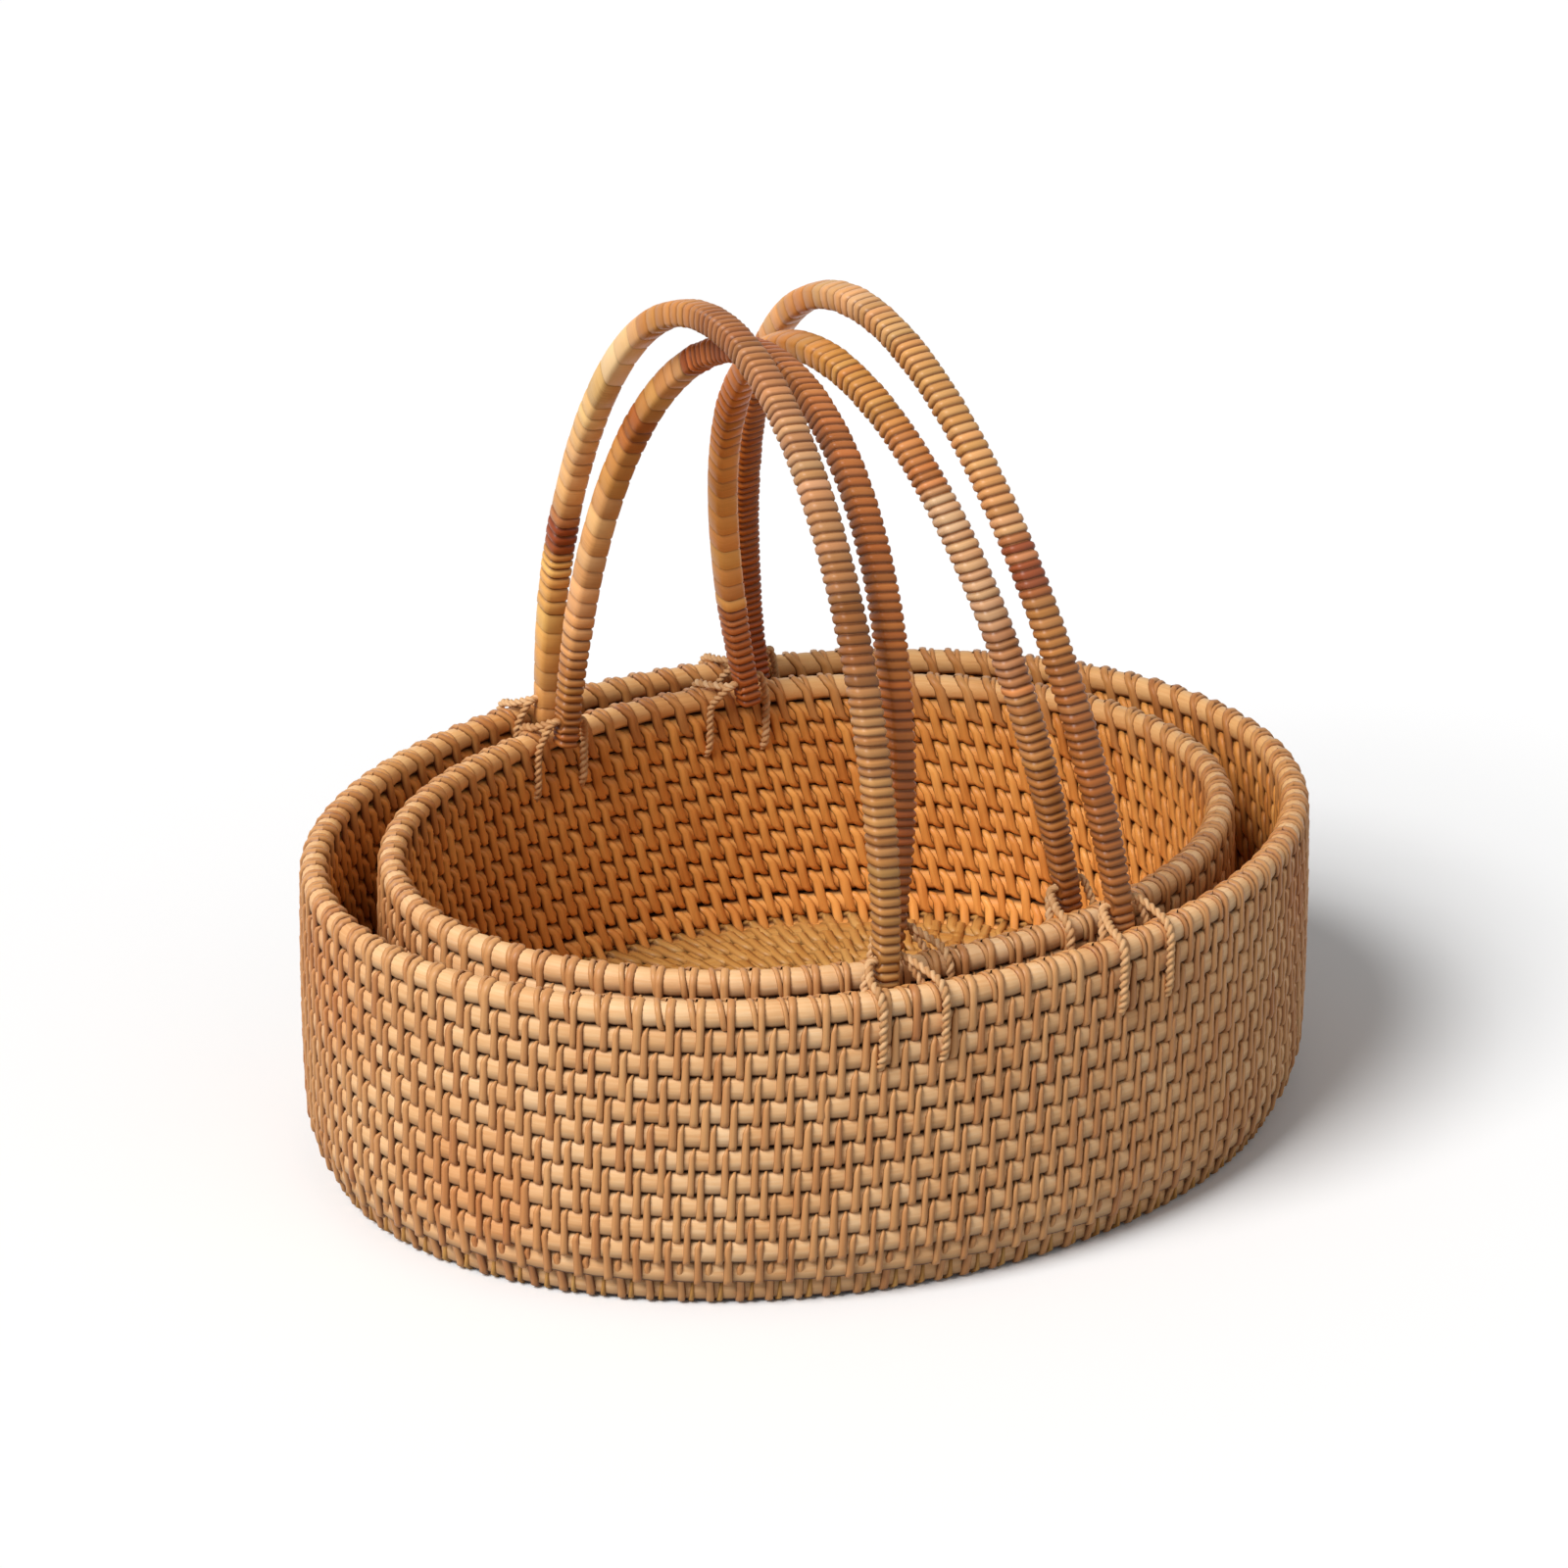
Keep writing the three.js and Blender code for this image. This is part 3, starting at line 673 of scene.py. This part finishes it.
def make_basket(name):
    """One basket: the rods of its wall and rim, the coils of its base, and all its stitches."""
    body = f"{name}_basket"
    count = stitches_round[name]
    courses = sorted(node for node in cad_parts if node.startswith(f"{name}_course_"))
    ovals = [oval_of(node, wall_powers) for node in courses] + [oval_of(f"{name}_rim", rim_powers)]
    top = len(ovals) - 1
    phase = [stitch_start + stitch_drift * (top - course) for course in range(top + 2)]
    block = [phase[course + 1] + stitch_drift / 2 + 0.5 for course in range(top + 1)]
    rod_blank = Blank(count * loops_per_stitch, rod_sides)
    strip = Blank(strip_steps, strip_across)

    rods = [
        bent_rod(ovals[course], rod_blank, count, -block[course], wall_bulge, wall_paleness, inner_rod_tint)
        for course in range(top)
    ]
    wall = bent_piece(f"{name}_wall_rods", rods, core_cane, True)
    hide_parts(*courses)
    rim_rod = bent_rod(
        ovals[top], rod_blank, count, -block[top], rim_bulge, rim_paleness, inner_rim_tint,
        covered=False,
    )
    rim = bent_piece(f"{name}_rim_rod", [rim_rod], core_cane, True)
    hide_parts(f"{name}_rim")

    rows = [
        stitch_row(ovals[course], ovals[course - 1], strip, count, phase[course])
        for course in range(top - 1, 0, -1)
    ]
    stitches = bent_piece(f"{name}_wall_stitches", rows, peel_strip, False)
    rim_row = stitch_row(ovals[top], ovals[top - 1], strip, count, phase[top], tapered=False)
    wraps = rim_wraps(ovals[top], strip, count, phase[top])
    rim_stitches = bent_piece(f"{name}_rim_stitches", [rim_row, wraps], peel_strip, False)

    outer = ovals[0]
    coils = [outer]
    ring = 1
    while outer.half_width - ring * coil_step > smallest_coil:
        half_length = outer.half_length - ring * coil_step
        half_width = outer.half_width - ring * coil_step
        coils.append(Oval(half_length, half_width, outer.height, wall_powers))
        ring += 1
    coil_blank = Blank(coil_loops, rod_sides)
    coil_rods = [
        bent_rod(coil, coil_blank, count, 0.0, 0.0, base_paleness, inner_rod_tint, turned=side_by_side)
        for coil in coils[1:]
    ]
    coil_rods.append(core_rod(coils[-1], Blank(core_loops, rod_sides)))
    base = bent_piece(f"{name}_base_coils", coil_rods, base_cane, True)
    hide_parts(f"{name}_base")
    base_rows = [stitch_row(coils[0], coils[1], strip, count, phase[0], -side_by_side, edge_stitch_from)]
    for ring in range(1, len(coils) - 1):
        sewn = max(fewest_stitches, round(count * coils[ring].length / outer.length))
        drift = stitch_drift * ring
        base_rows.append(stitch_row(coils[ring], coils[ring + 1], strip, sewn, drift, -side_by_side))
    base_stitches = bent_piece(f"{name}_base_stitches", base_rows, base_cane, False)
    for piece in (wall, rim, stitches, rim_stitches, base, base_stitches):
        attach(piece, body)
    return ovals


class Hoop:
    """The middle line of a handle, from its front foot to its rear one, standing as in the frame."""

    def __init__(self, basket, side):
        stand = handle_stands[f"{basket}_{side}"]
        self.feet = {end: np.array([*stand[end], 0]) * mm + [0, 0, hinge_up] for end in ("front", "rear")}
        across = self.feet["rear"] - self.feet["front"]
        self.middle = (self.feet["rear"] + self.feet["front"]) / 2
        self.turn = math.atan2(-across[0], across[1])
        self.lean = math.radians(stand["lean"])
        shares = np.linspace(0, 1, hoop_points)
        height = np.sin(math.pi * shares)
        narrowed = np.sqrt(np.clip(1 - height ** hoop_roundness[basket], 0, None))
        reach = narrowed * np.linalg.norm(across) / 2
        arc = np.stack([np.where(shares < 0.5, -reach, reach), hoop_rise[basket] * height], axis=-1)
        below = np.linspace(1, 1 / foot_points, foot_points)[:, None] * np.array([0, -foot_below])
        self.line = np.concatenate([arc[0] + below, arc, arc[-1] + below[::-1]])
        steps = np.linalg.norm(np.diff(self.line, axis=0), axis=1)
        self.run = np.concatenate([[0], np.cumsum(steps)])
        self.length = self.run[-1]
        heading = np.gradient(self.line, self.run, axis=0)
        self.heading = heading / np.linalg.norm(heading, axis=1)[:, None]

    def turned(self, side, across, up):
        """A step from the hoop's own axes to the frame's."""
        x = side * math.cos(self.lean) + up * math.sin(self.lean)
        z = up * math.cos(self.lean) - side * math.sin(self.lean)
        turned_x = x * math.cos(self.turn) - across * math.sin(self.turn)
        turned_y = x * math.sin(self.turn) + across * math.cos(self.turn)
        return np.stack([turned_x, turned_y, z], axis=-1)

    def place(self, along, side, out):
        """Where a point lies that is so far along the middle line, beside it and outside it."""
        y, z, head_y, head_z = (
            np.interp(along, self.run, row) for row in (*self.line.T, *self.heading.T)
        )
        return self.turned(side, y - out * head_z, z + out * head_y) + self.middle


def rounded_end(along, length):
    """How much of the section is left near the two ends of a handle, which taper and are rounded off."""
    near = np.minimum(along, length - along)
    round_off = np.sqrt(1 - (1 - np.clip(near / end_rounding, 0, 1)) ** 2)
    taper = foot_taper + (1 - foot_taper) * smooth_step(0, taper_reach, near)
    return taper * (end_share + (1 - end_share) * round_off)


def turn_starts(length, bands):
    """Where each turn of a binding starts, and how wide it is."""
    shares = [share for share, colour, width in bands]
    widths = [width * mm for share, colour, width in bands]
    starts = [turn_margin]
    while starts[-1] < length - turn_margin:
        wide = np.interp(starts[-1] / length, shares, widths)
        wider = np.clip(chance.normal(1, turn_widths), 1 - widest_turn, 1 + widest_turn)
        starts.append(starts[-1] + wide * wider)
    starts = np.array(starts) * (length - turn_margin) / starts[-1]
    return starts[:-1], np.diff(starts)


def bound_turns(hoop, blank, bands):
    """The cane binding: turn after turn of one strip, which parts round the holes of the two ties."""
    starts, pitches = turn_starts(hoop.length, bands)
    count = len(starts)
    pitch = pitches[:, None]
    angle = blank.along[None] * 2 * math.pi
    at_edge = np.isclose(np.abs(blank.across), 0.5)[None]
    across = np.sign(blank.across)[None] * np.where(at_edge, 0.5, 0.5 - turn_edge / pitch)
    order = np.arange(count)[:, None]
    wound = order + blank.along[None] + across * turn_overlap
    along = np.interp(wound, np.arange(count + 1), np.append(starts, starts[-1] + pitches[-1]))
    along = np.clip(along, turn_inset, hoop.length - turn_inset)
    open_half = hole_half * smooth_step(*hole_sides, np.abs(np.cos(angle)))
    for hole in (foot_below, hoop.length - foot_below):
        away = along - hole
        pushed = hole + np.sign(away) * (open_half + np.abs(away) * (1 - open_half / hole_reach))
        along = np.where(np.abs(away) < hole_reach, pushed, along)
    crown = np.interp(np.abs(blank.across), [0, 0.25, 0.5], [1.0, 0.8, -1.1])[None]
    flat = smooth_step(*flat_turns, pitch)
    lift = crown * turn_crown * (1 - flat_lift * flat) * (1 + chance.normal(0, turn_lifts, count)[:, None])
    # Painted shade: the dark line along each edge of a turn, in the groove to the next, fainter on flat
    # turns
    line = (1 - flat_shade_line * flat) * chance.uniform(weakest_shade_line, 1.0, count)[:, None]
    wide, deep = squared_round(angle, section_power)
    end = rounded_end(along, hoop.length)
    points = hoop.place(along, wide * (bound_half_wide * end + lift), deep * (bound_half_deep * end + lift))
    shares = [share for share, colour, width in bands]
    colours = np.array([linear(colour) for share, colour, width in bands])
    middle = (starts + pitches / 2) / hoop.length + chance.normal(0, band_moves, count)
    band = np.stack([np.interp(middle, shares, colours[:, part]) for part in range(3)], axis=-1)
    band = band * np.exp(chance.normal(0, band_brightness, count))[:, None]
    band = band * np.exp(chance.normal(0, band_hue, (count, 3)))
    band = np.concatenate([np.clip(band, 0, 1), np.ones((count, 1))], axis=1)
    band = band[:, None, :] + 0 * points[..., :1]
    tone = np.clip(chance.normal(middle_tone, turn_tones, count), 0, 1)[:, None] + 0 * along
    crease = np.where(at_edge, line, 0.0)
    own_grain = grain_apart["turn"] * order
    place = np.stack([angle * grain_radius + 0 * along, across * pitch, own_grain + 0 * along], axis=-1)
    return blank, points, {"tone": tone, "crease": crease, "cane_place": place, "tint": band}


def plain_pole(hoop, blank):
    """The pole under the binding, with rounded ends."""
    along = np.clip(blank.along, 0, 1) * hoop.length
    angle = -blank.across * 2 * math.pi
    wide, deep = squared_round(angle, section_power)
    end = rounded_end(along, hoop.length)
    shut = np.where(np.isclose(np.abs(2 * blank.along - 1), 1), 0.0, 1.0)
    side = wide * (bound_half_wide * end - pole_depth) * shut
    out = deep * (bound_half_deep * end - pole_depth) * shut
    points = hoop.place(along, side, out)
    place = np.stack([along, angle * grain_radius, 0 * along], axis=-1)
    tone = 0 * along + middle_tone
    return blank, points[None], {"tone": tone[None], "crease": 0 * tone[None], "cane_place": place[None]}


def smooth_route(corners):
    """Points at even spacing along a route whose bends are eased."""
    corners = np.array(corners)
    steps = np.linalg.norm(np.diff(corners, axis=0), axis=1)
    run = np.concatenate([[0], np.cumsum(steps)])
    even = np.linspace(0, run[-1], max(fewest_points, int(run[-1] / route_step)))
    route = np.stack([np.interp(even, run, row) for row in corners.T], axis=-1)
    for _ in range(route_passes):
        route[1:-1] = (route[:-2] + 2 * route[1:-1] + route[2:]) / 4
    return route


def strand(route, start_angle):
    """One strand of a twisted tie, wound along a route."""
    steps = len(route) - 1
    blank = Blank(steps, strand_sides)
    heading = np.gradient(route, axis=0)
    heading /= np.linalg.norm(heading, axis=1)[:, None]
    side = np.zeros_like(route)
    slanting = [0.3, 0.2, 1.0]  # no strand sets out in this direction
    guess = np.cross(heading[0], slanting)
    for place in range(len(route)):
        guess = guess - heading[place] * guess.dot(heading[place])
        guess = guess / np.linalg.norm(guess)
        side[place] = guess
    other = np.cross(heading, side)
    run = np.concatenate([[0], np.cumsum(np.linalg.norm(np.diff(route, axis=0), axis=1))])
    twist = start_angle + 2 * math.pi * run / twist_length
    middle = route + strand_offset * (np.cos(twist)[:, None] * side + np.sin(twist)[:, None] * other)
    step = np.rint(blank.along * steps).astype(int)
    angle = blank.across * 2 * math.pi
    near = np.minimum(step, steps - step) / tip_steps
    radius = strand_radius * np.sqrt(np.clip(near, strand_tip, 1))
    points = middle[step] + radius[:, None] * (
        np.cos(angle)[:, None] * side[step] + strand_flat * np.sin(angle)[:, None] * other[step]
    )
    tone = 0 * radius + np.clip(chance.normal(middle_tone, strand_tones), 0, 1)
    # Painted shade on the side of a strand that faces the other one
    toward = np.cos(angle) * np.cos(twist[step]) + np.sin(angle) * np.sin(twist[step])
    crease = smooth_step(*strand_crease, -toward)
    own_grain = grain_apart["strand"] * chance.random()
    place = np.stack([run[step], angle * strand_radius, 0 * radius + own_grain], axis=-1)
    return blank, points[None], {"tone": tone[None], "crease": crease[None], "cane_place": place[None]}


def beside_rod(oval, x, end, out, up):
    """A place so far outside and above a rod's middle line, at x on its front side or its rear one."""
    length = oval.half_length + out
    width = oval.half_width + out
    return np.array([x, end * width * math.sqrt(1 - (x / length) ** 2), oval.height + up])


def make_tie(name, hoop, ovals, end_name, outer_sides):
    """A twisted tie: through the foot, over the rim on the outer sides, and into the weave."""
    top = len(ovals) - 1
    tuck = top - tie_courses
    foot = hoop.feet[end_name]
    end = -1 if end_name == "front" else 1
    outside = rod_radius + tie_over
    wrap = outside + rim_room
    through = []
    routes = []
    for side in (-1, 1):
        x = foot[0] + side * tie_spread
        start, mouth, bend = (foot + hoop.turned(side * reach, 0, 0) for reach in tie_reaches)
        leg = [mouth, bend]
        if side in outer_sides:
            leg += [
                beside_rod(ovals[top], x, end, wrap * math.cos(turn), wrap * math.sin(turn))
                for turn in np.radians(rim_turns)
            ]
            leg.append(beside_rod(ovals[tuck + 1], x, end, outside, 0))
            leg += [beside_rod(ovals[tuck], x, end, out, up) for out, up in outer_tuck]
        through = through[::-1] + leg
        routes.append([
            start,
            bend,
            beside_rod(ovals[top], x, end, -outside, 0),
            beside_rod(ovals[tuck], x, end, -outside, 0),
            beside_rod(ovals[tuck], x, end, *inner_tuck),
        ])
    routes.append(through)
    strands = []
    for corners in routes:
        route = smooth_route(corners)
        strands += [strand(route, 0.0), strand(route, math.pi)]
    return bent_piece(f"{name}_cane_tie_{end_name}", strands, tie_cane, True)


def make_handle(basket, side, ovals):
    """One handle: its binding, its pole, and the ties at its two feet."""
    name = f"{basket}_handle_{side}"
    hoop = Hoop(basket, side)
    turn_blank = Blank(turn_steps, turn_across)
    binding = bent_piece(
        f"{name}_cane_turns", [bound_turns(hoop, turn_blank, handle_bands[f"{basket}_{side}"])],
        bound_cane, False,
    )
    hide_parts(f"{name}_binding")
    bare_pole = plain_pole(hoop, Blank(pole_loops, pole_sides))
    pole = bent_piece(f"{name}_bare_pole", [bare_pole], pole_cane, True)
    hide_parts(f"{name}_pole")
    for piece in (binding, pole):
        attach(piece, name)
    for end_name, end in (("front", -1), ("rear", 1)):
        x, y, z = hoop.feet[end_name]
        large_x = handle_stands[f"large_{side}"][end_name][0] * mm
        outer_sides = (-1, 1) if basket == "large" else (math.copysign(1, x - large_x),)
        tie = make_tie(name, hoop, ovals, end_name, outer_sides)
        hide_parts(f"{name}_tie_{end_name}")
        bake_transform(tie)


for basket_name in ("large", "small"):
    basket_ovals = make_basket(basket_name)
    for side_name in ("left", "right"):
        make_handle(basket_name, side_name, basket_ovals)


# Floor, light and camera

def seen_by_eye(tree):
    """1 for the camera and for reflections, and 0 for the light that a surface gives to others."""
    rays = add_node(tree, "ShaderNodeLightPath").outputs
    return add_node(
        tree, "ShaderNodeMath", {0: rays["Is Camera Ray"], 1: rays["Is Glossy Ray"]}, operation="MAXIMUM",
    ).outputs["Value"]


def make_stage():
    bpy.ops.object.select_all(action="DESELECT")
    bpy.ops.mesh.primitive_plane_add(size=floor_side, location=(0, 0, -floor_drop))
    floor = bpy.context.object
    floor.name = "floor"
    material = bpy.data.materials.new("white studio floor")
    material.use_nodes = True
    tree = material.node_tree
    shader = tree.nodes["Principled BSDF"]
    shade = add_node(
        tree, "ShaderNodeMapRange",
        {"Value": seen_by_eye(tree), "To Min": floor_bounce, "To Max": floor_white},
    ).outputs["Result"]
    tree.links.new(shade, shader.inputs["Base Color"])
    shader.inputs["Roughness"].default_value = 1.0
    shader.inputs["Specular IOR Level"].default_value = 0.0
    floor.data.materials.append(material)


def make_world():
    world = bpy.data.worlds.new("studio")
    bpy.context.scene.world = world
    world.use_nodes = True
    tree = world.node_tree
    strength = add_node(
        tree, "ShaderNodeMapRange", {"Value": seen_by_eye(tree), "To Min": world_light, "To Max": 1.0},
    ).outputs["Result"]
    tree.links.new(strength, tree.nodes["Background"].inputs["Strength"])
    tree.nodes["Background"].inputs["Color"].default_value = (1.0, 1.0, 1.0, 1.0)


def make_lamp(name, place, softness, power):
    """A soft lamp far off, so that it lights the whole floor evenly."""
    lamp = bpy.data.lights.new(name, "SUN")
    lamp.angle = math.radians(softness)
    lamp.energy = power
    holder = bpy.data.objects.new(name, lamp)
    holder.rotation_euler = (-Vector(place)).to_track_quat("-Z", "Y").to_euler()
    bpy.context.scene.collection.objects.link(holder)


def make_camera():
    data = bpy.data.cameras.new("photo camera")
    data.sensor_width = sensor_side
    data.lens = sensor_side * focal_pixels / image_side
    camera = bpy.data.objects.new("photo camera", data)
    camera.location = camera_place
    camera.rotation_euler = camera_aim.to_track_quat("-Z", "Y").to_euler()
    bpy.context.scene.collection.objects.link(camera)
    bpy.context.scene.camera = camera


make_stage()
make_world()
for lamp_name, lamp_values in lamps.items():
    make_lamp(lamp_name, *lamp_values)
make_camera()
bpy.context.scene.view_settings.view_transform = "Standard"
